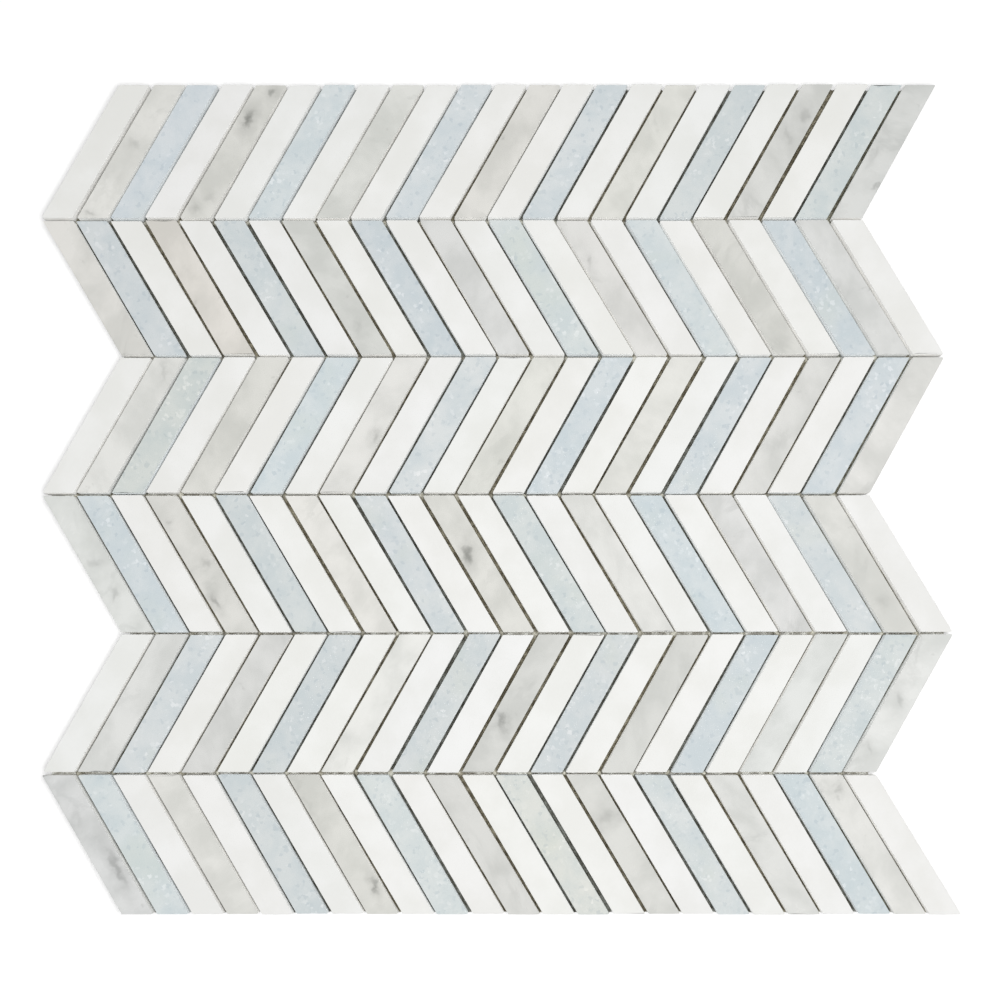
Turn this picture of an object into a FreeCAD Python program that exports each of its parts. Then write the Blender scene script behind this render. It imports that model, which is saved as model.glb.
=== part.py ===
import FreeCAD, Part
import os

import Sketcher
from FreeCAD import Vector

# A sheet of chevron mosaic: six rows of leaning marble strips, polished face up, with open joints
# between them, held together by a thin net of crossed threads on their backs. It lies flat, net down.
# X runs along the rows, Y across them and Z up out of the polished face. The origin is on the floor
# under the middle of the sheet.

# The strips' stones from left to right: W is white marble, G grey and B blue
stones = {"W": "white", "G": "grey", "B": "blue"}
right_leaning_row = "WGBWGWBWGWBWGWBWGWBWGWBG"
# A left-leaning row holds the same stones, one place further along
left_leaning_row = right_leaning_row[1:] + right_leaning_row[0]
# From the top row down
rows = [right_leaning_row, left_leaning_row] * 3

# Sizes that can be set, in millimetres and degrees
driving_sizes = {
    # A strip: its sawn width, its thickness, its height across the row and its lean from upright
    "strip_width": 10.0,
    "strip_thickness": 9.5,
    "row_height": 49.5,
    "lean_angle": 30.0,
    # The small bevel round the polished face
    "arris": 0.3,
    # The open joints beside a strip and at its ends
    "side_joint": 0.825,
    "end_joint": 0.7,
    # How far the foot or head of a strip laid by hand may sit off its place, along the row and across it
    "side_wander": 0.24,
    "end_wander": 0.14,
    # How much further right each row joint lies than the one above it: 0 squares the sheet
    "row_creep": 0.75,
    # The net: the spacing, width and thickness of its threads, and its distance inside the sheet's edge
    "thread_spacing": 4.0,
    "thread_width": 0.6,
    "thread_thickness": 0.2,
    "net_margin": 1.8,
}

# Sizes that follow from them
derived_sizes = {
    "strip_run": "=strip_width / cos(lean_angle)",
    "strip_spacing": "=(strip_width + side_joint) / cos(lean_angle)",
    "row_shift": "=row_height * tan(lean_angle)",
    "row_spacing": "=row_height + end_joint",
    "row_length": f"={len(rows[0]) - 1} * strip_spacing + strip_run",
    "sheet_length": f"=row_length + row_shift + {len(rows) - 1} * row_creep",
    "sheet_depth": f"={len(rows)} * row_spacing - end_joint",
    "net_thickness": "=2 * thread_thickness",
    # Threads on each side of the middle one
    "half_count_across": "=floor((sheet_depth / 2 - net_margin) / thread_spacing)",
    "half_count_along": "=floor((sheet_length / 2 - net_margin) / thread_spacing)",
}

document = FreeCAD.newDocument("chevron_mosaic_sheet")
sizes = document.addObject("Spreadsheet::Sheet", "sizes")
all_sizes = {**driving_sizes, **derived_sizes}
for cell_row, (name, value) in enumerate(all_sizes.items(), start=1):
    sizes.set(f"A{cell_row}", name)
    sizes.set(f"B{cell_row}", str(value))
    sizes.setAlias(f"B{cell_row}", name)
document.recompute()

# The four sides of an outline in the order in which they are drawn, and the two ends of each
foot, right_side, head, left_side = range(4)
first_point, last_point = range(1, 3)
sketch_origin = (-1, first_point)


def origin_feature(body, role):
    return next(item for item in body.Origin.OriginFeatures if item.Role == role)


def new_sketch(body, name):
    sketch = body.newObject("Sketcher::SketchObject", name)
    sketch.AttachmentSupport = (origin_feature(body, "XY_Plane"), [""])
    sketch.MapMode = "FlatFace"
    return sketch


def set_place(item, x, y, z):
    item.setExpression("Placement.Base.x", x)
    item.setExpression("Placement.Base.y", y)
    item.setExpression("Placement.Base.z", z)


# A dimension between two points of a sketch, bound to the sheet of sizes
def add_size(sketch, name, kind, from_point, to_point, expression):
    value = float(sketch.evalExpression(expression))
    number = sketch.addConstraint(Sketcher.Constraint(kind, *from_point, *to_point, value))
    sketch.renameConstraint(number, name)
    sketch.setExpression(f"Constraints.{name}", expression)


# Four lines round corners that start at the foot's left end, with level foot and head and parallel
# sides. Returns the number of the first line.
def add_four_sides(sketch, corners):
    first = sketch.GeometryCount
    lines = [Part.LineSegment(corners[side], corners[side - 3]) for side in range(4)]
    sketch.addGeometry(lines, False)
    rules = []
    for side in range(4):
        next_side = (side + 1) % 4
        corner = (first + side, last_point, first + next_side, first_point)
        rules.append(Sketcher.Constraint("Coincident", *corner))
    rules.append(Sketcher.Constraint("Horizontal", first + foot))
    rules.append(Sketcher.Constraint("Horizontal", first + head))
    rules.append(Sketcher.Constraint("Parallel", first + left_side, first + right_side))
    sketch.addConstraint(rules)
    return first


# Turns in degrees that never settle into a pattern from strip to strip and from row to row
wander_turns = {"foot": 163, "head": 169, "level": 59, "row": 47}


# How far a hand-laid strip sits off its place, between plus and minus the given size
def wander(size_name, turn_name, row_number, place):
    strip_turn = wander_turns[turn_name] * place * place
    row_turn = wander_turns["row"] * row_number * (place + row_number)
    return f"sizes.{size_name} * sin({(strip_turn + row_turn) % 360} deg)"


# One strip's outline. Its sketch starts one strip and one row outside the row itself, so that every
# distance in it is positive.
def draw_strip(sketch, row_number, place):
    leans_right = row_number % 2 == 1
    foot_shift, head_shift = (0, 1) if leans_right else (1, 0)
    along = f"{place} * sizes.strip_spacing"
    foot_wander = wander("side_wander", "foot", row_number, place)
    head_wander = wander("side_wander", "head", row_number, place)
    foot_creep = f"{row_number} * sizes.row_creep"
    head_creep = f"{row_number - 1} * sizes.row_creep"
    foot_x = f"{along} + {foot_shift} * sizes.row_shift + {foot_creep} + {foot_wander}"
    head_x = f"{along} + {head_shift} * sizes.row_shift + {head_creep} + {head_wander}"
    foot_y = f"sizes.row_spacing + {wander('end_wander', 'level', row_number, place)}"
    left_foot = Vector(sketch.evalExpression(foot_x), sketch.evalExpression(foot_y), 0)
    left_head = Vector(sketch.evalExpression(head_x), left_foot.y + sizes.row_height, 0)
    across_strip = Vector(sizes.strip_run, 0, 0)
    corners = [left_foot, left_foot + across_strip, left_head + across_strip, left_head]
    first = add_four_sides(sketch, corners)
    foot_left = (first + foot, first_point)
    foot_right = (first + foot, last_point)
    head_left = (first + head, last_point)
    add_size(sketch, f"foot_{place}", "DistanceX", sketch_origin, foot_left, foot_x)
    add_size(sketch, f"head_{place}", "DistanceX", sketch_origin, head_left, head_x)
    add_size(sketch, f"low_{place}", "DistanceY", sketch_origin, foot_left, foot_y)
    add_size(sketch, f"run_{place}", "DistanceX", foot_left, foot_right, "sizes.strip_run")
    add_size(sketch, f"height_{place}", "DistanceY", foot_left, head_left, "sizes.row_height")


# The strips of one stone in one row, which never touch because other stones lie between them
def make_strips(row_number, letter):
    name = f"row_{row_number}_{stones[letter]}_strips"
    body = document.addObject("PartDesign::Body", name)
    sketch = new_sketch(body, f"{name}_outline")
    for place, stone in enumerate(rows[row_number - 1], start=1):
        if stone == letter:
            draw_strip(sketch, row_number, place)
    slab = body.newObject("PartDesign::Pad", f"{name}_slab")
    slab.Profile = (sketch, [""])
    slab.setExpression("Length", "sizes.strip_thickness")
    document.recompute()
    faces = enumerate(slab.Shape.Faces, start=1)
    polished_faces = [f"Face{number}" for number, face in faces if face.normalAt(0, 0).z > 0.9]
    bevel = body.newObject("PartDesign::Chamfer", f"{name}_arris")
    bevel.Base = (slab, polished_faces)
    bevel.setExpression("Size", "sizes.arris")
    set_place(
        body,
        "-sizes.sheet_length / 2 - sizes.row_creep - sizes.strip_spacing",
        f"sizes.sheet_depth / 2 - sizes.row_height - {row_number} * sizes.row_spacing",
        "sizes.net_thickness",
    )
    return body


# The zigzag outline that the net is cut to, a margin inside the strips: down the left edge of the
# rows, then up the right edge
def make_net_outline():
    sketch = document.addObject("Sketcher::SketchObject", "net_outline")
    left_edge = []
    right_edge = []
    for turn in range(len(rows) + 1):
        level = f"sizes.sheet_depth + sizes.end_joint / 2 - {turn} * sizes.row_spacing"
        if turn == 0:
            level = "sizes.sheet_depth - sizes.net_margin"
        if turn == len(rows):
            level = "sizes.net_margin"
        # The two edges step to and fro together, so every row is as long as the next
        shift = f"{1 - turn % 2} * sizes.row_shift + {turn} * sizes.row_creep"
        left_edge.append((f"{shift} + sizes.net_margin", level))
        right_edge.append((f"{shift} + sizes.row_length - sizes.net_margin", level))
    corners = left_edge + right_edge[::-1]
    points = [Vector(sketch.evalExpression(x), sketch.evalExpression(y), 0) for x, y in corners]
    lines = [Part.LineSegment(points[number - 1], point) for number, point in enumerate(points)]
    sketch.addGeometry(lines, False)
    for number, (x, y) in enumerate(corners):
        next_line = (number + 1) % len(lines)
        corner = (number, last_point)
        join = Sketcher.Constraint("Coincident", *corner, next_line, first_point)
        sketch.addConstraint(join)
        add_size(sketch, f"along_{number}", "DistanceX", sketch_origin, corner, x)
        add_size(sketch, f"across_{number}", "DistanceY", sketch_origin, corner, y)
    set_place(sketch, "-sizes.sheet_length / 2 - sizes.row_creep", "-sizes.sheet_depth / 2", "0")
    blank = document.addObject("Part::Extrusion", "net_blank")
    blank.Base = sketch
    blank.DirMode = "Normal"
    blank.Solid = True
    blank.setExpression("LengthFwd", "sizes.net_thickness")
    return blank


# One layer of parallel threads, cut to the outline. run and width are the first thread's sides along X
# and Y, and the others step off from it along the given axis.
def make_threads(name, blank, run, width, step_axis, half_count, x, y, z):
    field = document.addObject("PartDesign::Body", f"{name}_field")
    sketch = new_sketch(field, f"{name}_outline")
    run_value = float(sketch.evalExpression(run))
    width_value = float(sketch.evalExpression(width))
    corners = [
        Vector(0, 0, 0),
        Vector(run_value, 0, 0),
        Vector(run_value, width_value, 0),
        Vector(0, width_value, 0),
    ]
    add_four_sides(sketch, corners)
    foot_left = (foot, first_point)
    foot_right = (foot, last_point)
    head_left = (head, last_point)
    sketch.addConstraint(Sketcher.Constraint("Coincident", *foot_left, *sketch_origin))
    sketch.addConstraint(Sketcher.Constraint("Vertical", left_side))
    add_size(sketch, "run", "DistanceX", foot_left, foot_right, run)
    add_size(sketch, "width", "DistanceY", foot_left, head_left, width)
    thread = field.newObject("PartDesign::Pad", f"{name}_thread")
    thread.Profile = (sketch, [""])
    thread.setExpression("Length", "sizes.thread_thickness")
    document.recompute()
    row = field.newObject("PartDesign::LinearPattern", f"{name}_row")
    row.Originals = [thread]
    row.Direction = (origin_feature(field, step_axis), [""])
    row.Mode = "Spacing"
    row.setExpression("Offset", "sizes.thread_spacing")
    row.setExpression("Occurrences", f"2 * {half_count} + 1")
    field.Tip = row
    set_place(field, x, y, z)
    threads = document.addObject("Part::Common", name)
    threads.Base = field
    threads.Tool = blank
    return threads


# The net's lower threads run along the rows and lie on the floor, and its upper ones lie across them
# under the strips
def make_net():
    blank = make_net_outline()
    lower = make_threads(
        "net_lower_threads",
        blank,
        run="sizes.sheet_length",
        width="sizes.thread_width",
        step_axis="Y_Axis",
        half_count="sizes.half_count_across",
        x="-sizes.sheet_length / 2",
        y="-sizes.half_count_across * sizes.thread_spacing - sizes.thread_width / 2",
        z="0",
    )
    upper = make_threads(
        "net_upper_threads",
        blank,
        run="sizes.thread_width",
        width="sizes.sheet_depth",
        step_axis="X_Axis",
        half_count="sizes.half_count_along",
        x="-sizes.half_count_along * sizes.thread_spacing - sizes.thread_width / 2",
        y="-sizes.sheet_depth / 2",
        z="sizes.thread_thickness",
    )
    return [lower, upper]


nodes = make_net()
for row_number in range(1, len(rows) + 1):
    for letter in stones:
        nodes.append(make_strips(row_number, letter))
document.recompute()

for item in document.Objects:
    if "Invalid" in item.State or "Error" in item.State:
        raise RuntimeError(f"{item.Label} did not compute: {item.State}")
for node in nodes:
    if node.Shape.isNull() or not node.Shape.isValid():
        raise RuntimeError(f"{node.Label} has no valid shape")

os.makedirs("parts", exist_ok=True)
for node in nodes:
    node.Shape.exportStep(f"parts/{node.Label}.step")
    print(f"{node.Label}: {len(node.Shape.Solids)} solids, {node.Shape.Volume / 1000:.2f} cubic cm")
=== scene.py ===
import bmesh
import bpy
import math
import random
from mathutils import Matrix, Vector, noise


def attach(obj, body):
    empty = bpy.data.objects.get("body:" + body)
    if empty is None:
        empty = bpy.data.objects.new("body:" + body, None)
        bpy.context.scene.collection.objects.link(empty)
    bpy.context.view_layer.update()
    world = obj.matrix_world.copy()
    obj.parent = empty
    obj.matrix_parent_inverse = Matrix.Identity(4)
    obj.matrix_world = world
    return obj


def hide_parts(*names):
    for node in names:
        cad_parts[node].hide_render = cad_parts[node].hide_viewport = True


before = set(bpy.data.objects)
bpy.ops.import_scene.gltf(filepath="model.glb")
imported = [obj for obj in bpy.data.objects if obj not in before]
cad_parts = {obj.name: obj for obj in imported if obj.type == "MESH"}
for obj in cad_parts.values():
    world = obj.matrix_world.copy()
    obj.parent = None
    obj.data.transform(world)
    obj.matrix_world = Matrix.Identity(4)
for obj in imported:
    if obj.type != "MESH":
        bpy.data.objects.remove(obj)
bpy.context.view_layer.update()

mm = 0.001


# Small helpers for meshes

# The loose solids of a CAD node, each as a list of its corner points
def looseSolids(nodeName):
    bm = bmesh.new()
    bm.from_mesh(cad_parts[nodeName].data)
    bmesh.ops.remove_doubles(bm, verts=bm.verts, dist=0.002 * mm)
    seen = set()
    solids = []
    for first in bm.verts:
        if first in seen:
            continue
        seen.add(first)
        todo = [first]
        points = []
        while todo:
            vert = todo.pop()
            points.append(vert.co.copy())
            for edge in vert.link_edges:
                other = edge.other_vert(vert)
                if other not in seen:
                    seen.add(other)
                    todo.append(other)
        solids.append(points)
    bm.free()
    return solids


# One smooth object from lists of points and faces, riding on the part's only body
def newPiece(name, points, faces, materials):
    mesh = bpy.data.meshes.new(name)
    mesh.from_pydata(points, [], faces)
    mesh.polygons.foreach_set("use_smooth", [True] * len(faces))
    for material in materials:
        mesh.materials.append(material)
    piece = bpy.data.objects.new(name, mesh)
    bpy.context.scene.collection.objects.link(piece)
    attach(piece, "root")
    return piece


# Writes a vector for each point of a mesh, for its material to read
def addVectors(mesh, name, vectors):
    attribute = mesh.attributes.new(name, "FLOAT_VECTOR", "POINT")
    attribute.data.foreach_set("vector", [number for vector in vectors for number in vector])


# Joins two rings of points of the same length with four-sided faces
def bandBetween(lowRing, highRing):
    count = len(lowRing)
    band = []
    for i in range(count):
        j = (i + 1) % count
        band.append((lowRing[i], lowRing[j], highRing[j], highRing[i]))
    return band


# Small helpers for materials

# Links a node's input to a socket, or sets it to a plain value
def setInput(tree, goal, value):
    if isinstance(value, bpy.types.NodeSocket):
        tree.links.new(value, goal)
    else:
        goal.default_value = value


def addNode(tree, kind, inputs=None, **settings):
    item = tree.nodes.new(kind)
    for key, value in settings.items():
        setattr(item, key, value)
    for key, value in (inputs or {}).items():
        setInput(tree, item.inputs[key], value)
    return item


# The empty node tree of a material or a world
def emptyTree(owner):
    owner.use_nodes = True
    owner.node_tree.nodes.clear()
    return owner.node_tree


def newMaterial(name):
    material = bpy.data.materials.new(name)
    tree = emptyTree(material)
    shader = addNode(tree, "ShaderNodeBsdfPrincipled")
    addNode(tree, "ShaderNodeOutputMaterial", {"Surface": shader.outputs["BSDF"]})
    return material, tree, shader


# A colour between two others, each of them a socket or a plain colour
def mixColour(tree, factor, under, over, blend="MIX"):
    item = addNode(tree, "ShaderNodeMix", data_type="RGBA", blend_type=blend)
    factorSocket, underSocket, overSocket = (item.inputs[index] for index in (0, 6, 7))
    setInput(tree, factorSocket, factor)
    for goal, colour in ((underSocket, under), (overSocket, over)):
        isSocket = isinstance(colour, bpy.types.NodeSocket)
        setInput(tree, goal, colour if isSocket else (*colour, 1))
    return item.outputs[2]


# Stretches low..high of a value to 0..amount, with soft ends
def softStep(tree, value, low, high, amount=1.0):
    inputs = {"Value": value, "From Min": low, "From Max": high, "To Min": 0.0, "To Max": amount}
    item = addNode(tree, "ShaderNodeMapRange", inputs, interpolation_type="SMOOTHSTEP")
    return item.outputs["Result"]


def maths(tree, operation, first, second):
    return addNode(tree, "ShaderNodeMath", {0: first, 1: second}, operation=operation).outputs[0]


def cloudNoise(tree, place, scale, detail, roughness, distortion=0.0):
    inputs = {
        "Vector": place,
        "Scale": scale,
        "Detail": detail,
        "Roughness": roughness,
        "Distortion": distortion,
    }
    return addNode(tree, "ShaderNodeTexNoise", inputs).outputs["Fac"]


# A place shifted to and fro by a noise, so that what is drawn there gets uneven outlines
def rippledPlace(tree, place, scale, reach):
    ripple = addNode(tree, "ShaderNodeTexNoise", {"Vector": place, "Scale": scale, "Detail": 3})
    inputs = {0: ripple.outputs["Color"], 1: (0.5, 0.5, 0.5)}
    centred = addNode(tree, "ShaderNodeVectorMath", inputs, operation="SUBTRACT")
    inputs = {0: centred.outputs["Vector"], 1: (reach, reach, reach), 2: place}
    return addNode(tree, "ShaderNodeVectorMath", inputs, operation="MULTIPLY_ADD").outputs["Vector"]


def addBump(tree, shader, height, strength, depth):
    inputs = {"Height": height, "Strength": strength, "Distance": depth}
    bump = addNode(tree, "ShaderNodeBump", inputs)
    tree.links.new(bump.outputs["Normal"], shader.inputs["Normal"])


# Where a point lies on the sheet
def sheetPlace(tree):
    return addNode(tree, "ShaderNodeTexCoord").outputs["Object"]


# Where a point lies in the slab that its strip was sawn from, written into the mesh by buildStrips
def slabPlace(tree):
    return addNode(tree, "ShaderNodeAttribute", attribute_name="slabPlace").outputs["Vector"]


# The tint of a whole strip or stretch of glue, written into the mesh as well
def ownTint(tree):
    return addNode(tree, "ShaderNodeAttribute", attribute_name="stripTint").outputs["Vector"]


# Stone strips: sawn sides, a hand-rubbed arris with small nicks, and a polished face

stripLook = {
    # How far the sawn sides are drawn in from the CAD's. With the sharp arris here, the joints are as
    # wide as between the CAD's polished faces.
    "sideInset": 0.15 * mm,
    "sideSteps": 56,
    "endSteps": 11,
    "cornerSteps": 4,
    "cornerRadius": (0.2 * mm, 0.55 * mm),
    "arris": 0.15 * mm,
    "arrisBelly": 0.28,  # how far in and down its rounded middle lies, as a share of the arris
    "arrisWobble": 0.15,  # share of the arris
    "wobbleScale": 700,
    "backArris": 0.12 * mm,
    "nicks": (1, 4),  # on each strip
    "nickDepth": (0.06 * mm, 0.3 * mm),
    "nickWidth": (0.5 * mm, 1.6 * mm),
    "nickRoughness": 0.3,
    "nickScale": 4000,
    # How steeply the shading normals of each ring look up, from the back to the polished face, in
    # degrees. The sawn sides turn up towards their tops, so that they darken evenly with depth.
    "normalTilts": (-90, 0, 36, 60, 90),
}


# The four corners of an outline moved in from both sides that meet there
def insetCorners(corners, inset):
    moved = []
    for i in range(4):
        toBefore = (corners[i - 1] - corners[i]).normalized()
        toAfter = (corners[(i + 1) % 4] - corners[i]).normalized()
        moved.append(corners[i] + (toBefore + toAfter) * inset / math.sin(toBefore.angle(toAfter)))
    return moved


# The strips as the CAD has them. Their corners start at the foot's left end and run anticlockwise.
def readStrips():
    strips = []
    for nodeName in sorted(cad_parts):
        if not nodeName.endswith("_strips"):
            continue
        row, stone = nodeName.split("_")[1:3]
        for points in looseSolids(nodeName):
            low = min(point.z for point in points)
            top = max(point.z for point in points)
            onBack = sorted((p for p in points if p.z < low + 0.1 * mm), key=lambda p: p.y)
            foot = sorted(onBack[:2], key=lambda p: p.x)
            head = sorted(onBack[2:], key=lambda p: p.x)
            corners = insetCorners([foot[0], foot[1], head[1], head[0]], stripLook["sideInset"])
            strip = {"node": nodeName, "row": int(row), "stone": stone}
            strip.update(corners=corners, low=low, top=top)
            strips.append(strip)
    for row in {strip["row"] for strip in strips}:
        inRow = sorted((s for s in strips if s["row"] == row), key=lambda s: s["corners"][0].x)
        for place, strip in enumerate(inRow, start=1):
            strip["place"] = place
    return strips


strips = readStrips()
print("read the strips:", len(strips))


# A closed path round the corners, which are rounded by short curves. Opposite sides get the same
# number of points, so that faces can run across from one to the other.
def roundedPath(corners, look, dice):
    cuts = []
    for i in range(4):
        toBefore = (corners[i - 1] - corners[i]).normalized()
        toAfter = (corners[(i + 1) % 4] - corners[i]).normalized()
        radius = dice.uniform(*look["cornerRadius"])
        cut = radius / math.tan(toBefore.angle(toAfter) / 2)
        cuts.append((corners[i] + toBefore * cut, corners[i] + toAfter * cut))
    path = []
    for i in range(4):
        start, finish = cuts[i]
        for step in range(look["cornerSteps"] + 1):
            t = step / look["cornerSteps"]
            path.append(start * (1 - t) ** 2 + corners[i] * 2 * t * (1 - t) + finish * t ** 2)
        nextStart = cuts[(i + 1) % 4][0]
        steps = look["sideSteps"] if i % 2 else look["endSteps"]
        for step in range(1, steps):
            path.append(finish.lerp(nextStart, step / steps))
    return path


# Faces that cover a ring of points: one at each end and a ladder between them
def ladderFaces(ring, look):
    turn = look["endSteps"] + 2 * look["cornerSteps"]
    steps = look["sideSteps"]
    count = len(ring)
    covered = [tuple(ring[: turn + 1]), tuple(ring[turn + steps : count - steps + 1])]
    for step in range(steps):
        left = ring[(count - step) % count]
        nextLeft = ring[count - step - 1]
        covered.append((left, ring[turn + step], ring[turn + step + 1], nextLeft))
    return covered


# How wide the arris is at each point of the path
def arrisWidths(path, look, dice):
    seedShift = Vector((dice.uniform(-50, 50), dice.uniform(-50, 50), 0))
    scale = look["wobbleScale"]
    widths = []
    for point in path:
        wobble = noise.noise(point * scale + seedShift)
        wobble += 0.5 * noise.noise(point * (3 * scale) + seedShift)
        widths.append(look["arris"] * (1 + look["arrisWobble"] * wobble))
    rough = look["nickRoughness"]
    for _ in range(dice.randint(*look["nicks"])):
        nick = dice.choice(path)
        depth = dice.uniform(*look["nickDepth"])
        width = dice.uniform(*look["nickWidth"])
        for i, point in enumerate(path):
            away = (point - nick).length / width
            if away < 1:
                share = 1 - rough + rough * noise.noise(point * look["nickScale"])
                widths[i] += depth * (1 - away * away) * share
    return widths


# Rings of points from the back up to the polished face, and the shading normal of each point
def stripRings(strip, look, dice):
    path = roundedPath(strip["corners"], look, dice)
    widths = arrisWidths(path, look, dice)
    count = len(path)
    inward = []
    for i in range(count):
        along = (path[(i + 1) % count] - path[i - 1]).normalized()
        inward.append(Vector((-along.y, along.x, 0)))
    low = strip["low"]
    top = strip["top"]
    back = look["backArris"]
    rings = []
    normals = []
    for level, degrees in enumerate(look["normalTilts"]):
        tilt = math.radians(degrees)
        ring = []
        for i in range(count):
            width = widths[i]
            belly = look["arrisBelly"] * width
            insets = (back, 0, 0, belly, width)
            heights = (low, low + back, top - width, top - belly, top)
            point = path[i] + inward[i] * insets[level]
            point.z = heights[level]
            ring.append(point)
            normals.append(inward[i] * -math.cos(tilt) + Vector((0, 0, math.sin(tilt))))
        rings.append(ring)
    return rings, normals


# A turn and a shift that take a strip back to where it lay in its slab
def slabPose(dice):
    turn = dice.uniform(-math.pi, math.pi)
    shift = Vector((dice.uniform(-1, 1), dice.uniform(-1, 1), dice.uniform(-1, 1)))
    return turn, shift


def placeInSlab(away, turn, shift):
    cosine = math.cos(turn)
    sine = math.sin(turn)
    return (
        cosine * away.x - sine * away.y + shift.x,
        sine * away.x + cosine * away.y + shift.y,
        away.z + shift.z,
    )


# Colour of a whole strip against its kind: how far strips differ in brightness, and how far from warm
# to cool and from green to pink
tintSpread = {
    "white": (0.006, 0.005, 0.002),
    "grey": (0.075, 0.018, 0.004),
    "blue": (0.033, 0.018, 0.004),
}
# Strips of an odd colour, by row and place
oddTints = {
    (1, 5): (0.985, 0.98, 0.965),
    (2, 4): (1.03, 0.993, 0.965),
    (3, 3): (0.98, 0.97, 0.925),
    (4, 8): (1.08, 1.065, 1.055),
    (5, 9): (1.11, 1.11, 1.11),
    (6, 1): (0.965, 0.975, 1.005),
    (6, 12): (0.93, 0.93, 0.93),
    (6, 14): (1.06, 1.02, 0.955),
}


def tintOf(strip, dice):
    bright, warm, pink = (1 + dice.uniform(-share, share) for share in tintSpread[strip["stone"]])
    drawn = (bright * pink * warm ** 0.6, bright / pink, bright * pink / warm)
    return oddTints.get((strip["row"], strip["place"]), drawn)


# The strips of one node as one object. Its first material is the polished one and its second the sawn.
def buildStrips(nodeName, members, materials):
    polishedSlot = 0
    sawnSlot = 1
    points = []
    normals = []
    places = []
    tints = []
    faces = []
    slots = []
    for strip in members:
        dice = random.Random(100 * strip["row"] + strip["place"])
        rings, ringNormals = stripRings(strip, stripLook, dice)
        normals += ringNormals
        turn, shift = slabPose(dice)
        tint = tintOf(strip, dice)
        middle = sum(strip["corners"], Vector()) / 4
        numbers = []
        for ring in rings:
            numbers.append(list(range(len(points), len(points) + len(ring))))
            points += ring
            places += [placeInSlab(point - middle, turn, shift) for point in ring]
            tints += [tint] * len(ring)
        bands = [bandBetween(*pair) for pair in zip(numbers, numbers[1:])]
        back = [face[::-1] for face in ladderFaces(numbers[0], stripLook)]
        sawn = back + bands[0] + bands[1]
        polished = bands[2] + bands[3] + ladderFaces(numbers[4], stripLook)
        faces += sawn + polished
        slots += [sawnSlot] * len(sawn) + [polishedSlot] * len(polished)
    stone = members[0]["stone"]
    name = f"{stone}StripsRow{members[0]['row']}"
    piece = newPiece(name, points, faces, materials)
    piece.data.polygons.foreach_set("material_index", slots)
    piece.data.normals_split_custom_set_from_vertices(normals)
    addVectors(piece.data, "slabPlace", places)
    addVectors(piece.data, "stripTint", tints)
    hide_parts(nodeName)


# What the polished faces share: the strip's own tint, an uneven gloss and the polish's slight waves

polishLook = {
    "waves": (260, 3, 0.6),  # a noise, here and below: its scale, detail, roughness and distortion
    "bump": 0.04,
    "bumpDepth": 0.2 * mm,
}


def finishFace(tree, shader, look, place, colour, glossPattern):
    colour = mixColour(tree, 1.0, colour, ownTint(tree), "MULTIPLY")
    tree.links.new(colour, shader.inputs["Base Color"])
    low, high = look["roughness"]
    inputs = {"Value": glossPattern, "To Min": low, "To Max": high}
    rough = addNode(tree, "ShaderNodeMapRange", inputs)
    tree.links.new(rough.outputs["Result"], shader.inputs["Roughness"])
    waves = cloudNoise(tree, place, *polishLook["waves"])
    addBump(tree, shader, waves, polishLook["bump"], polishLook["bumpDepth"])


# A sawn side: the stone's colour, duller, with the saw's fine lines and some dust left in them

sawnLook = {
    "clouds": (140, 5, 0.6),
    "cloudEdges": (0.3, 0.7),
    "cloudShade": 0.86,  # of the stone's sawn colour
    "roughness": 0.85,
    "lineStretch": (60, 60, 2600),  # fine from back to face and drawn out along the side
    "lines": (1.0, 3, 0.5),
    "bump": 0.5,
    "bumpDepth": 0.1 * mm,
}


def makeSawnSide(name, sawnColour):
    look = sawnLook
    material, tree, shader = newMaterial(name)
    clouds = cloudNoise(tree, slabPlace(tree), *look["clouds"])
    shaded = tuple(look["cloudShade"] * channel for channel in sawnColour)
    colour = mixColour(tree, softStep(tree, clouds, *look["cloudEdges"]), shaded, sawnColour)
    tree.links.new(colour, shader.inputs["Base Color"])
    shader.inputs["Roughness"].default_value = look["roughness"]
    inputs = {"Vector": sheetPlace(tree), "Scale": look["lineStretch"]}
    stretched = addNode(tree, "ShaderNodeMapping", inputs).outputs["Vector"]
    lines = cloudNoise(tree, stretched, *look["lines"])
    addBump(tree, shader, lines, look["bump"], look["bumpDepth"])
    return material


# White marble: very even, with faint clouds and a fine sugary grain

whiteMarble = {
    "colour": (0.850, 0.851, 0.824),
    "cloudColour": (0.903, 0.905, 0.888),
    "clouds": (55, 5, 0.55),
    "cloudEdges": (0.35, 0.68),
    "grainScale": 1300,
    "grainEdges": (0.1, 0.9),
    "grainAmount": 0.03,
    "roughness": (0.16, 0.3),
    "sawnColour": (0.87, 0.865, 0.845),
}


def makeWhiteFace():
    look = whiteMarble
    material, tree, shader = newMaterial("whiteMarbleFace")
    place = slabPlace(tree)
    clouds = cloudNoise(tree, place, *look["clouds"])
    cloudy = softStep(tree, clouds, *look["cloudEdges"])
    colour = mixColour(tree, cloudy, look["colour"], look["cloudColour"])
    grain = addNode(tree, "ShaderNodeTexVoronoi", {"Vector": place, "Scale": look["grainScale"]})
    sugar = softStep(tree, grain.outputs["Color"], *look["grainEdges"], look["grainAmount"])
    colour = mixColour(tree, sugar, colour, (1, 1, 1))
    finishFace(tree, shader, look, place, colour, clouds)
    return material


# Grey marble: soft clouds, a few drawn-out veins and rare dark smudges

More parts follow.
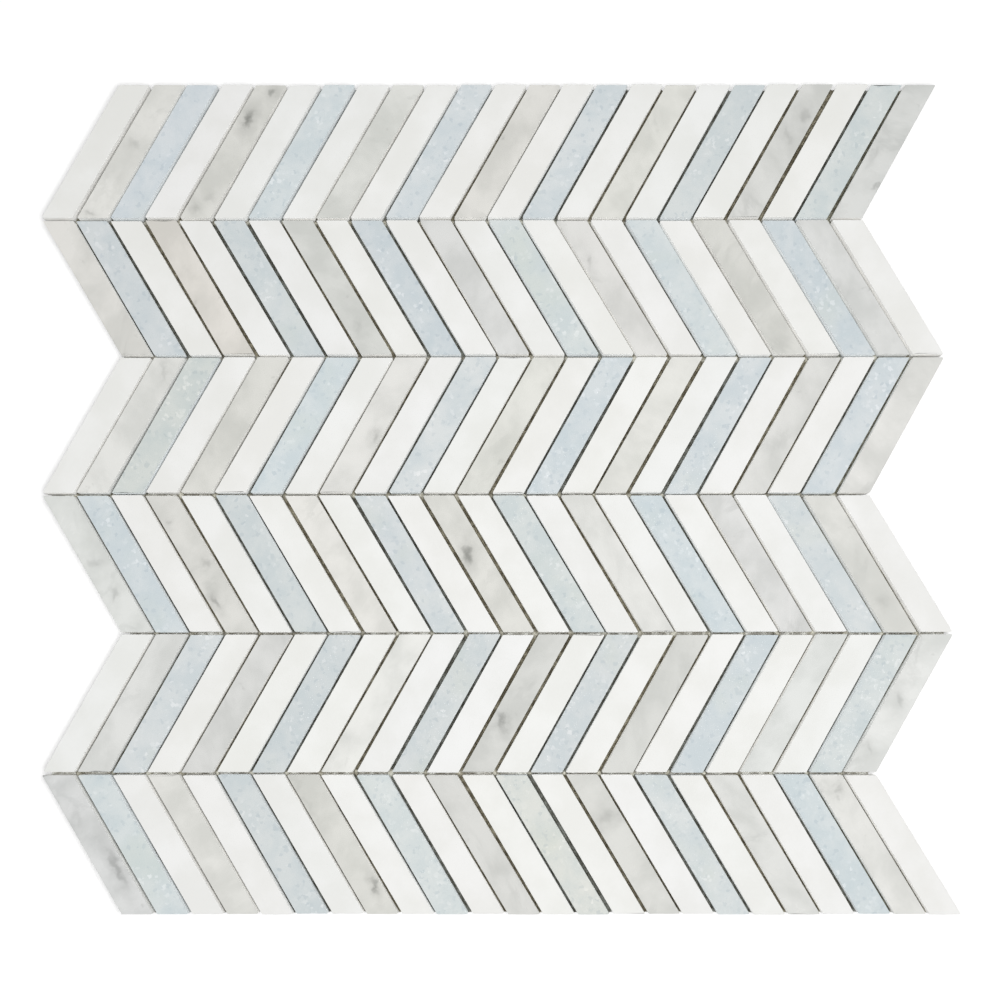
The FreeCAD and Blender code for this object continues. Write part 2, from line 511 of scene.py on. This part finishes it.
greyMarble = {
    "light": (0.78, 0.78, 0.75),
    "dark": (0.655, 0.66, 0.63),
    "vein": (0.42, 0.43, 0.41),
    "smudge": (0.20, 0.205, 0.19),
    "stretch": (1.0, 0.7, 1.0),  # clouds and veins are longer one way
    "clouds": (70, 5, 0.55, 0.15),
    "cloudEdges": (0.32, 0.66),
    "veins": (26, 6, 0.62, 0.8),
    "veinWidth": 0.045,  # how far from the noise's middle value a vein reaches
    "veinAmount": 0.28,
    "veinPatches": (40, 3, 0.5),
    "patchEdges": (0.45, 0.7),
    "spots": (115, 4, 0.55),
    "spotEdges": (0.66, 0.8),
    "spotAmount": 0.5,
    "roughness": (0.18, 0.34),
    "sawnColour": (0.81, 0.805, 0.78),
}

# How the listed smudges fade: the reach of their core and their halo against their size, how
# dark the halo is against the core, and how uneven their outline is
smudgeLook = {
    "coreReach": 1.3,
    "haloReach": 2.3,
    "haloShare": 0.4,
    "rippleScale": 330,
    "rippleReach": 5 * mm,
}
# Each smudge: row, place, share of the way up the strip and across it, length and width in mm, turn
# from the strip's own line in degrees, and how dark
smudgeMarks = [
    (1, 2, 0.56, 0.45, 5, 8, 0, 0.28),
    (1, 2, 0.03, 0.34, 3, 6, 0, 0.35),
    (1, 5, 0.94, 0.67, 6, 4, 25, 0.65),
    (1, 5, 0.74, 0.39, 11, 5, 10, 0.85),
    (1, 5, 0.16, 0.60, 4, 6, 0, 0.25),
    (1, 5, 0.07, 0.30, 6, 5, 0, 0.3),
    (1, 21, 0.76, 0.66, 8, 5, 35, 0.38),
    (1, 21, 0.61, 0.47, 10, 3, 40, 0.25),
    (1, 24, 0.46, 0.25, 13, 3, 0, 0.22),
    (2, 8, 0.20, 0.43, 12, 5, -15, 0.2),
    (2, 16, 0.70, 0.30, 7, 3, -15, 0.35),
    (3, 2, 0.90, 0.58, 11, 3, 25, 0.25),
    (3, 9, 0.42, 0.75, 7, 3, 15, 0.38),
    (4, 1, 0.51, 0.43, 8, 4, 55, 0.25),
    (4, 1, 0.27, 0.45, 6, 3, -45, 0.32),
    (4, 4, 0.79, 0.25, 4, 2, -40, 0.3),
    (4, 4, 0.50, 0.68, 5, 4, 0, 0.3),
    (4, 4, 0.21, 0.23, 8, 3, 0, 0.55),
    (4, 12, 0.56, 0.30, 10, 5, -20, 0.8),
    (4, 23, 0.23, 0.45, 7, 8, 0, 0.22),
    (5, 13, 0.37, 0.38, 10, 4, 40, 0.6),
    (5, 24, 0.53, 0.46, 9, 4, 40, 0.35),
    (5, 24, 0.17, 0.34, 7, 3, 50, 0.25),
    (6, 1, 0.71, 0.37, 10, 4, -15, 0.2),
    (6, 1, 0.33, 0.68, 21, 4, -5, 0.55),
    (6, 8, 0.20, 0.75, 10, 3, -10, 0.65),
    (6, 16, 0.70, 0.48, 7, 9, 0, 0.3),
    (6, 23, 0.89, 0.60, 3, 5, 0, 0.35),
]


# A point of a strip, and the strip's own line from foot to head
def stripPoint(row, place, up, across):
    strip = next(s for s in strips if s["row"] == row and s["place"] == place)
    footLeft, footRight, headRight, headLeft = strip["corners"]
    left = footLeft.lerp(headLeft, up)
    right = footRight.lerp(headRight, up)
    return left.lerp(right, across), headLeft - footLeft


# One number over the whole sheet: how dark the marks make each place
def smudgeStrength(tree, where):
    look = smudgeLook
    total = None
    for row, place, up, across, length, width, turn, depth in smudgeMarks:
        centre, upStrip = stripPoint(row, place, up, across)
        angle = math.atan2(upStrip.y, upStrip.x) + math.radians(turn)
        inputs = {
            "Vector": where,
            "Location": (centre.x, centre.y, 0),
            "Rotation": (0, 0, angle),
            "Scale": (length / 2 * mm, width / 2 * mm, 1),
        }
        spot = addNode(tree, "ShaderNodeMapping", inputs, vector_type="TEXTURE").outputs["Vector"]
        away = addNode(tree, "ShaderNodeVectorMath", {0: spot}, operation="LENGTH").outputs["Value"]
        core = softStep(tree, away, look["coreReach"], 0.0, depth)
        halo = softStep(tree, away, look["haloReach"], 0.0, depth * look["haloShare"])
        strength = maths(tree, "MAXIMUM", core, halo)
        total = strength if total is None else maths(tree, "MAXIMUM", total, strength)
    return total


def makeGreyFace():
    look = greyMarble
    material, tree, shader = newMaterial("greyMarbleFace")
    place = slabPlace(tree)
    inputs = {"Vector": place, "Scale": look["stretch"]}
    stretched = addNode(tree, "ShaderNodeMapping", inputs).outputs["Vector"]
    clouds = cloudNoise(tree, stretched, *look["clouds"])
    colour = mixColour(tree, softStep(tree, clouds, *look["cloudEdges"]), look["dark"], look["light"])
    # A vein runs where a slow noise crosses its middle value
    slow = cloudNoise(tree, stretched, *look["veins"])
    off = maths(tree, "ABSOLUTE", maths(tree, "SUBTRACT", slow, 0.5), 0.0)
    vein = softStep(tree, off, look["veinWidth"], 0.0, look["veinAmount"])
    patches = softStep(tree, cloudNoise(tree, place, *look["veinPatches"]), *look["patchEdges"])
    colour = mixColour(tree, maths(tree, "MULTIPLY", vein, patches), colour, look["vein"])
    # The stone's own rare spots, and the listed smudges
    spots = cloudNoise(tree, place, *look["spots"])
    spots = softStep(tree, spots, *look["spotEdges"], look["spotAmount"])
    reach = smudgeLook["rippleReach"]
    where = rippledPlace(tree, sheetPlace(tree), smudgeLook["rippleScale"], reach)
    dark = maths(tree, "MAXIMUM", spots, smudgeStrength(tree, where))
    colour = mixColour(tree, dark, colour, look["smudge"])
    finishFace(tree, shader, look, place, colour, clouds)
    return material


# Blue marble: pale crystals of mixed size, white glints, small darker flecks and some green

blueMarble = {
    "light": (0.702, 0.742, 0.747),
    "deep": (0.617, 0.678, 0.698),
    "green": (0.637, 0.688, 0.654),
    "fleck": (0.48, 0.55, 0.59),
    "glint": (0.93, 0.95, 0.96),
    "mottle": (85, 6, 0.6, 0.3),
    "mottleEdges": (0.33, 0.66),
    "greenPatches": (34, 3, 0.5),
    "greenEdges": (0.56, 0.72),
    "greenAmount": 0.5,
    "crystalScale": 820,
    "crystalRippleScale": 1100,
    "crystalRippleReach": 1.3 * mm,
    "glintEdges": (0.8, 1.0),
    "glintAmount": 0.52,
    "glintPatches": (70, 3, 0.6),
    "glintPatchEdges": (0.42, 0.68),
    "fleckEdges": (0.88, 1.0),
    "fleckAmount": 0.45,
    "roughness": (0.14, 0.36),
    "sawnColour": (0.765, 0.80, 0.815),
}


def makeBlueFace():
    look = blueMarble
    material, tree, shader = newMaterial("blueMarbleFace")
    place = slabPlace(tree)
    mottle = softStep(tree, cloudNoise(tree, place, *look["mottle"]), *look["mottleEdges"])
    colour = mixColour(tree, mottle, look["deep"], look["light"])
    green = cloudNoise(tree, place, *look["greenPatches"])
    green = softStep(tree, green, *look["greenEdges"], look["greenAmount"])
    colour = mixColour(tree, green, colour, look["green"])
    uneven = rippledPlace(tree, place, look["crystalRippleScale"], look["crystalRippleReach"])
    inputs = {"Vector": uneven, "Scale": look["crystalScale"]}
    crystals = addNode(tree, "ShaderNodeTexVoronoi", inputs).outputs["Color"]
    # Three random numbers for each crystal
    draws = addNode(tree, "ShaderNodeSeparateColor", {"Color": crystals}).outputs
    glint = softStep(tree, draws["Red"], *look["glintEdges"], look["glintAmount"])
    gathered = cloudNoise(tree, place, *look["glintPatches"])
    gathered = softStep(tree, gathered, *look["glintPatchEdges"])
    colour = mixColour(tree, maths(tree, "MULTIPLY", glint, gathered), colour, look["glint"])
    fleck = softStep(tree, draws["Green"], *look["fleckEdges"], look["fleckAmount"])
    colour = mixColour(tree, fleck, colour, look["fleck"])
    finishFace(tree, shader, look, place, colour, draws["Blue"])
    return material


stoneMaterials = {
    "white": [makeWhiteFace(), makeSawnSide("whiteMarbleSawn", whiteMarble["sawnColour"])],
    "grey": [makeGreyFace(), makeSawnSide("greyMarbleSawn", greyMarble["sawnColour"])],
    "blue": [makeBlueFace(), makeSawnSide("blueMarbleSawn", blueMarble["sawnColour"])],
}
print("made the marbles")

for nodeName in sorted({strip["node"] for strip in strips}):
    members = [strip for strip in strips if strip["node"] == nodeName]
    buildStrips(nodeName, members, stoneMaterials[members[0]["stone"]])
print("cut the strips")


# The net: flat yarns in two layers, coated and a little uneven

netLook = {
    "step": 2.0 * mm,  # between rings along a yarn
    "sides": 6,
    "shortBy": 0.15 * mm,  # at each end of the CAD's thread
    "sway": 0.07 * mm,
    "swayScale": 90,
    "widthWobble": 0.12,
    "wobbleScale": 300,
    "colour": (0.74, 0.73, 0.69),
    # Colour of the low grooves between strands: painted shade
    "grooveShadeColour": (0.55, 0.54, 0.50),
    "strands": (2400, 4, 0.6),
    "strandEdges": (0.35, 0.65),
    "roughness": 0.55,
    "bump": 0.6,
    "bumpDepth": 0.05 * mm,
}


def makeYarn():
    look = netLook
    material, tree, shader = newMaterial("netYarn")
    strands = cloudNoise(tree, sheetPlace(tree), *look["strands"])
    strandy = softStep(tree, strands, *look["strandEdges"])
    # Darker where the strands' bump is low: painted shade in the grooves between strands
    colour = mixColour(tree, strandy, look["grooveShadeColour"], look["colour"])
    tree.links.new(colour, shader.inputs["Base Color"])
    shader.inputs["Roughness"].default_value = look["roughness"]
    addBump(tree, shader, strands, look["bump"], look["bumpDepth"])
    return material


# Rings of points on one yarn, which runs along X where along is 0 and along Y where it is 1. The
# rings' flat tops and bottoms lie where the CAD's thread has its own.
def yarnRings(thread, along, dice):
    look = netLook
    across = 1 - along
    first = min(p[along] for p in thread) + look["shortBy"]
    last = max(p[along] for p in thread) - look["shortBy"]
    sideLow = min(p[across] for p in thread)
    sideHigh = max(p[across] for p in thread)
    halfWidth = (sideHigh - sideLow) / 2
    bottom = min(p.z for p in thread)
    top = max(p.z for p in thread)
    halfHeight = (top - bottom) / 2
    steps = max(2, round((last - first) / look["step"]))
    phase = dice.uniform(0, 100)
    rings = []
    for step in range(steps + 1):
        run = first + (last - first) * step / steps
        sway = look["sway"] * noise.noise(Vector((run * look["swayScale"], phase, 0)))
        thinner = 0.5 + noise.noise(Vector((run * look["wobbleScale"], phase, 5)))
        wide = halfWidth * (1 - look["widthWobble"] * thinner)
        ring = []
        for side in range(look["sides"]):
            angle = 2 * math.pi * side / look["sides"]
            point = Vector()
            point[along] = run
            point[across] = (sideLow + sideHigh) / 2 + sway + wide * math.cos(angle)
            point.z = (bottom + top) / 2 + halfHeight * math.sin(angle) / math.sin(math.pi / 3)
            ring.append(point)
        rings.append(ring)
    return rings


def buildYarns(nodeName, pieceName, along, material):
    points = []
    faces = []
    for number, thread in enumerate(looseSolids(nodeName)):
        numbers = []
        for ring in yarnRings(thread, along, random.Random(number)):
            numbers.append(list(range(len(points), len(points) + len(ring))))
            points += ring
        skin = []
        for lowRing, highRing in zip(numbers, numbers[1:]):
            skin += bandBetween(lowRing, highRing)
        skin += [tuple(numbers[0][::-1]), tuple(numbers[-1])]
        # Rings along Y run round the other way
        faces += skin if along == 0 else [face[::-1] for face in skin]
    piece = newPiece(pieceName, points, faces, [material])
    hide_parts(nodeName)


yarnMaterial = makeYarn()
buildYarns("net_lower_threads", "netYarnsAlongRows", 0, yarnMaterial)
buildYarns("net_upper_threads", "netYarnsAcrossRows", 1, yarnMaterial)
print("laid the net")


# Glue that came up through the net: a film in the joints, thin between the rows, lumps where joints
# cross, and dabs that hold the net to the strips' backs. The film's dark colour and its climb up the
# walls are partly painted shade, and its tints in the joints are painted light

glueLook = {
    # Heights above the strips' backs: of the film's floor, and how far it creeps up the stone. The dark
    # film on the walls is glue and also painted shade, darkening them towards the joint's foot
    "height": (0.2 * mm, 1.2 * mm),
    "climb": (1.0 * mm, 3.6 * mm),
    "rowHeight": (-0.25 * mm, 0.7 * mm),
    "rowClimb": (0.3 * mm, 2.2 * mm),
    # Where the film's points lie across the joint, and how much they have climbed
    "profile": ((-0.06, 1.0), (0.05, 0.9), (0.1, 0.3), (0.5, 0.0), (0.9, 0.3), (0.95, 0.9), (1.06, 1.0)),
    "step": 1.5 * mm,
    "riseScale": 120,
    # Shares of a strip's width by which the film between rows passes its ends, or at the sheet's edges
    # stays inside them
    "rowPast": 0.05,
    "edgeInside": 0.15,
    "lumpShift": 0.4 * mm,
    "lumpRadius": (1.0 * mm, 1.9 * mm),
    "lumpHeight": (1.0 * mm, 3.4 * mm),
    "dabsUp": (0.14, 0.5, 0.86),  # shares of the way up a strip
    "dabShift": 0.05,
    "dabAcross": (0.42, 0.58),
    "dabRadius": (2.2 * mm, 3.8 * mm),
    "dabRoot": 0.02 * mm,  # above the strips' backs
    "dabBottom": 0.06 * mm,  # above the floor
    # Rings of a lump or dab: shares of its radius and of its height
    "lumpRings": ((1.0, 0.0), (0.8, 0.62), (0.45, 0.92)),
    "lumpSides": 12,
    "lumpStretch": (0.75, 1.25),
    "lumpWobble": 0.22,
    # The film's dark colour is the glue's own and also painted shade deep in the narrow joints
    "colour": (0.12, 0.11, 0.085),
    "lightColour": (0.30, 0.29, 0.25),
    "clouds": (420, 5, 0.65),
    "cloudEdges": (0.4, 0.65),
    "roughness": 0.5,
    # The stone beside it tints the film: painted light bounced off its sides
    "bouncedLightTints": {"white": (1.22, 1.21, 1.19), "grey": (1.84, 1.75, 1.46), "blue": (1.14, 1.31, 1.47)},
    # Painted light: the film between rows is lightened far past the glue's own colour
    "rowPaintedLightTint": (3.6, 3.75, 4.2),
    "lumpTint": (2.6, 2.65, 2.7),
    "dabTint": (3.4, 3.3, 3.0),
}


def makeGlue():
    look = glueLook
    material, tree, shader = newMaterial("hardenedGlue")
    clouds = cloudNoise(tree, sheetPlace(tree), *look["clouds"])
    cloudy = softStep(tree, clouds, *look["cloudEdges"])
    colour = mixColour(tree, cloudy, look["colour"], look["lightColour"])
    colour = mixColour(tree, 1.0, colour, ownTint(tree), "MULTIPLY")
    tree.links.new(colour, shader.inputs["Base Color"])
    shader.inputs["Roughness"].default_value = look["roughness"]
    return material


# Points and faces of one glue piece, with a tint for each point
def newGlue():
    return {"points": [], "faces": [], "tints": []}


def addGluePoint(glue, point, tint):
    glue["points"].append(point)
    glue["tints"].append(tint)
    return len(glue["points"]) - 1


# A ribbon of glue between two edges that face each other across a joint
def addRibbon(glue, leftEdge, rightEdge, low, heights, climbs, tint):
    length = (leftEdge[1] - leftEdge[0]).length
    steps = max(2, round(length / glueLook["step"]))
    before = None
    for step in range(steps + 1):
        left = leftEdge[0].lerp(leftEdge[1], step / steps)
        right = rightEdge[0].lerp(rightEdge[1], step / steps)
        after = []
        for share, climbed in glueLook["profile"]:
            point = left.lerp(right, share)
            rise = max(0.0, min(1.0, 0.5 + noise.noise(point * glueLook["riseScale"])))
            floorHeight = heights[0] + (heights[1] - heights[0]) * rise ** 2
            # How far the dark film climbs the walls: painted shade at the joint's foot as well as glue
            climb = climbs[0] + (climbs[1] - climbs[0]) * rise
            point.z = low + floorHeight + (climb - floorHeight) * climbed
            after.append(addGluePoint(glue, point, tint))
        if before:
            for side in range(len(after) - 1):
                glue["faces"].append((before[side], before[side + 1], after[side + 1], after[side]))
        before = after


# A rounded lump or dab: rings that shrink towards the middle, upwards or downwards
def addLump(glue, centre, radius, rise, tint, dice):
    look = glueLook
    sides = look["lumpSides"]
    stretch = dice.uniform(*look["lumpStretch"])
    turn = dice.uniform(0, math.pi)
    rings = []
    for share, height in look["lumpRings"]:
        ring = []
        for side in range(sides):
            angle = 2 * math.pi * side / sides
            x = math.cos(angle)
            y = math.sin(angle)
            reach = radius * share * (1 + look["lumpWobble"] * noise.noise(Vector((x, y, turn * 9))))
            away = Vector((reach * stretch * x, reach / stretch * y, rise * height))
            ring.append(addGluePoint(glue, centre + Matrix.Rotation(turn, 3, "Z") @ away, tint))
        rings.append(ring)
    middle = addGluePoint(glue, centre + Vector((0, 0, rise)), tint)
    faces = bandBetween(rings[0], rings[1]) + bandBetween(rings[1], rings[2])
    for side in range(sides):
        faces.append((rings[2][side], rings[2][(side + 1) % sides], middle))
    glue["faces"] += faces if rise > 0 else [face[::-1] for face in faces]


def buildGluePiece(name, glue, material):
    piece = newPiece(name, glue["points"], glue["faces"], [material])
    addVectors(piece.data, "stripTint", glue["tints"])


# Painted light bounced off the two stones beside a joint: the mean of their tints
def bouncedLightTint(first, second):
    tints = glueLook["bouncedLightTints"]
    return tuple((a + b) / 2 for a, b in zip(tints[first["stone"]], tints[second["stone"]]))


def fillSideJoints(glue, byPlace, rowCount, placeCount):
    look = glueLook
    for row in range(1, rowCount + 1):
        for place in range(1, placeCount):
            strip = byPlace[row, place]
            other = byPlace[row, place + 1]
            leftEdge = (strip["corners"][1], strip["corners"][2])
            rightEdge = (other["corners"][0], other["corners"][3])
            # Painted bounced light from the strips on both sides
            tint = bouncedLightTint(strip, other)
            addRibbon(glue, leftEdge, rightEdge, strip["low"], look["height"], look["climb"], tint)


def fillRowJoints(glue, byPlace, rowCount, placeCount):
    look = glueLook
    dice = random.Random(7)
    for row in range(1, rowCount):
        heads = [byPlace[row + 1, place]["corners"][3].y for place in range(1, placeCount + 1)]
        lowY = sum(heads) / len(heads)
        for place in range(1, placeCount + 1):
            strip = byPlace[row, place]
            low = strip["low"]
            foot = strip["corners"]
            run = foot[1].x - foot[0].x
            startX = foot[0].x + run * (look["edgeInside"] if place == 1 else -look["rowPast"])
            endX = foot[1].x - run * (look["edgeInside"] if place == placeCount else -look["rowPast"])
            upper = (Vector((startX, foot[0].y, 0)), Vector((endX, foot[1].y, 0)))
            lower = (Vector((startX, lowY, 0)), Vector((endX, lowY, 0)))
            # The film between rows carries painted light in its tint
            addRibbon(glue, upper, lower, low, look["rowHeight"], look["rowClimb"], look["rowPaintedLightTint"])
            if place < placeCount:
                crossX = (foot[1].x + byPlace[row, place + 1]["corners"][0].x) / 2
                crossX += dice.uniform(-look["lumpShift"], look["lumpShift"])
                centre = Vector((crossX, (foot[1].y + lowY) / 2, low))
                radius = dice.uniform(*look["lumpRadius"])
                height = dice.uniform(*look["lumpHeight"])
                addLump(glue, centre, radius, height, look["lumpTint"], dice)


def dabBacks(glue):
    look = glueLook
    dice = random.Random(11)
    for strip in strips:
        footLeft, footRight, headRight, headLeft = strip["corners"]
        for up in look["dabsUp"]:
            share = up + dice.uniform(-look["dabShift"], look["dabShift"])
            across = dice.uniform(*look["dabAcross"])
            centre = footLeft.lerp(headLeft, share).lerp(footRight.lerp(headRight, share), across)
            centre.z = strip["low"] + look["dabRoot"]
            radius = dice.uniform(*look["dabRadius"])
            addLump(glue, centre, radius, look["dabBottom"] - centre.z, look["dabTint"], dice)


def buildGlue():
    material = makeGlue()
    byPlace = {(strip["row"], strip["place"]): strip for strip in strips}
    rowCount = max(strip["row"] for strip in strips)
    placeCount = max(strip["place"] for strip in strips)
    inJoints = newGlue()
    fillSideJoints(inJoints, byPlace, rowCount, placeCount)
    fillRowJoints(inJoints, byPlace, rowCount, placeCount)
    buildGluePiece("glueInJoints", inJoints, material)
    onBacks = newGlue()
    dabBacks(onBacks)
    buildGluePiece("glueOnBacks", onBacks, material)


buildGlue()
print("spread the glue")


# Floor and light

studio = {
    "floorColour": (0.93, 0.93, 0.93),
    "floorHalf": 6.0,
    "floorLevel": -0.05 * mm,
    # The floor's own glow near the sheet and far away, which only the camera and reflections see
    "nearGlow": 0.25,
    "farGlow": 0.8,
    "glowReach": (0.3, 1.5),
    "skyStrength": 0.22,
    "lampPower": 7.75,
    "lampPlace": (0.08, -0.10, 0.98),
    "lampSize": 0.4,
}


# A number that is 1 for what the camera, a reflection or a clear material sees, and 0 for light
def seenDirectly(tree):
    rays = addNode(tree, "ShaderNodeLightPath")
    total = maths(tree, "ADD", rays.outputs["Is Camera Ray"], rays.outputs["Is Glossy Ray"])
    total = maths(tree, "ADD", total, rays.outputs["Is Transmission Ray"])
    return maths(tree, "MINIMUM", total, 1.0)


def makeFloorMaterial():
    material = bpy.data.materials.new("studioFloor")
    tree = emptyTree(material)
    matt = addNode(tree, "ShaderNodeBsdfDiffuse", {"Color": (*studio["floorColour"], 1)})
    glow = addNode(tree, "ShaderNodeEmission")
    where = sheetPlace(tree)
    away = addNode(tree, "ShaderNodeVectorMath", {0: where}, operation="LENGTH").outputs["Value"]
    more = softStep(tree, away, *studio["glowReach"], studio["farGlow"] - studio["nearGlow"])
    strength = maths(tree, "ADD", more, studio["nearGlow"])
    strength = maths(tree, "MULTIPLY", seenDirectly(tree), strength)
    tree.links.new(strength, glow.inputs["Strength"])
    both = addNode(tree, "ShaderNodeAddShader", {0: matt.outputs[0], 1: glow.outputs[0]})
    addNode(tree, "ShaderNodeOutputMaterial", {"Surface": both.outputs[0]})
    return material


def makeFloor():
    half = studio["floorHalf"]
    level = studio["floorLevel"]
    corners = [(-half, -half, level), (half, -half, level), (half, half, level), (-half, half, level)]
    mesh = bpy.data.meshes.new("floor")
    mesh.from_pydata(corners, [], [(0, 1, 2, 3)])
    mesh.materials.append(makeFloorMaterial())
    floor = bpy.data.objects.new("floor", mesh)
    bpy.context.scene.collection.objects.link(floor)


def makeSky():
    world = bpy.data.worlds.new("studioSky")
    bpy.context.scene.world = world
    tree = emptyTree(world)
    base = studio["skyStrength"]
    strength = maths(tree, "MULTIPLY", seenDirectly(tree), 1.0 - base)
    strength = maths(tree, "ADD", strength, base)
    sky = addNode(tree, "ShaderNodeBackground", {"Color": (1, 1, 1, 1), "Strength": strength})
    addNode(tree, "ShaderNodeOutputWorld", {"Surface": sky.outputs[0]})


def makeLamp():
    lamp = bpy.data.lights.new("softLamp", "AREA")
    lamp.shape = "SQUARE"
    lamp.size = studio["lampSize"]
    lamp.energy = studio["lampPower"]
    lampObject = bpy.data.objects.new("softLamp", lamp)
    lampObject.location = studio["lampPlace"]
    lampObject.visible_glossy = False  # so that the polished faces show no bright patch
    lampObject.rotation_euler = (-Vector(studio["lampPlace"])).to_track_quat("-Z", "Y").to_euler()
    bpy.context.scene.collection.objects.link(lampObject)


# The camera looks almost straight down, from over the lower half of the sheet

cameraLook = {
    "place": (4.1 * mm, -68.6 * mm, 870.4 * mm),
    "target": (1.45 * mm, -2.2 * mm, 9.9 * mm),
    "lens": 86.1,
    "sensor": 36.0,
    "clipStart": 0.01,
}


def makeCamera():
    data = bpy.data.cameras.new("camera")
    data.lens = cameraLook["lens"]
    data.sensor_width = cameraLook["sensor"]
    data.clip_start = cameraLook["clipStart"]
    data.dof.use_dof = False
    camera = bpy.data.objects.new("camera", data)
    place = Vector(cameraLook["place"])
    camera.location = place
    forward = (Vector(cameraLook["target"]) - place).normalized()
    right = forward.cross(Vector((0, 1, 0))).normalized()
    up = right.cross(forward)
    camera.rotation_euler = Matrix((right, up, -forward)).transposed().to_euler()
    bpy.context.scene.collection.objects.link(camera)
    bpy.context.scene.camera = camera


makeFloor()
makeSky()
makeLamp()
makeCamera()
bpy.context.scene.view_settings.view_transform = "Standard"
print("set the floor, light and camera")
